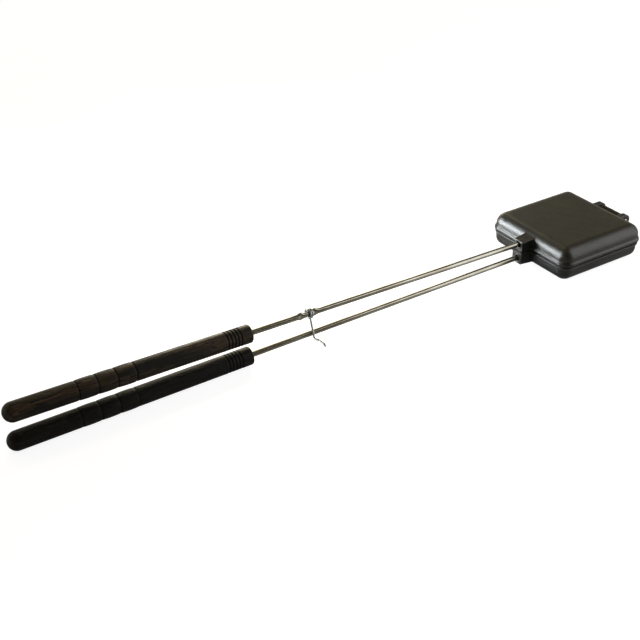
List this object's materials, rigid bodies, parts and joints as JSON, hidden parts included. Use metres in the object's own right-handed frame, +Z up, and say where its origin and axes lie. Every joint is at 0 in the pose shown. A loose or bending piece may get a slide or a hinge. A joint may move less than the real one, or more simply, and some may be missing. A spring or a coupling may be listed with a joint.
{
  "type": "campfire sandwich maker",
  "caption": "Long-handled cast-iron sandwich maker for a campfire: two square hinged pans, steel rods, turned wooden handles and a wire latch.",
  "frame": {"origin": "middle of the lower half's flat face, which the head lies on", "axes": "+X from the handles to the hinge, +Z up through the head, +Y completes a right-handed set"},
  "size_m": [0.7205, 0.118, 0.0482],
  "materials": {
    "iron": "seasoned, satin",
    "steel": "plain steel",
    "nickel": "nickel-plated, satin",
    "brown_wood": "dark stain, open grain",
    "dark_wood": "darker stain, open grain",
    "zinc_wire": "zinc-plated"
  },
  "bodies": {
    "lower": {"lower_casting": "iron", "hinge_pin": "steel", "lower_rod": "nickel", "lower_cross_pin": "steel", "lower_handle": "dark_wood"},
    "upper": {"upper_casting": "iron", "upper_rod": "nickel", "upper_cross_pin": "steel", "upper_handle": "brown_wood"},
    "latch": {"latch": "zinc_wire"}
  },
  "joints": [
    {"name": "shell_hinge", "type": "hinge", "parent": "lower", "child": "upper", "pos_m": [0.0693, 0, 0.0231], "axis": [0, 1, 0], "range_deg": [0, 178]},
    {"name": "latch_swing", "type": "hinge", "parent": "upper", "child": "latch", "pos_m": [-0.33694, 0, 0.03263], "axis": [0.9998, 0, -0.022], "range_deg": [-338, 0]}
  ]
}
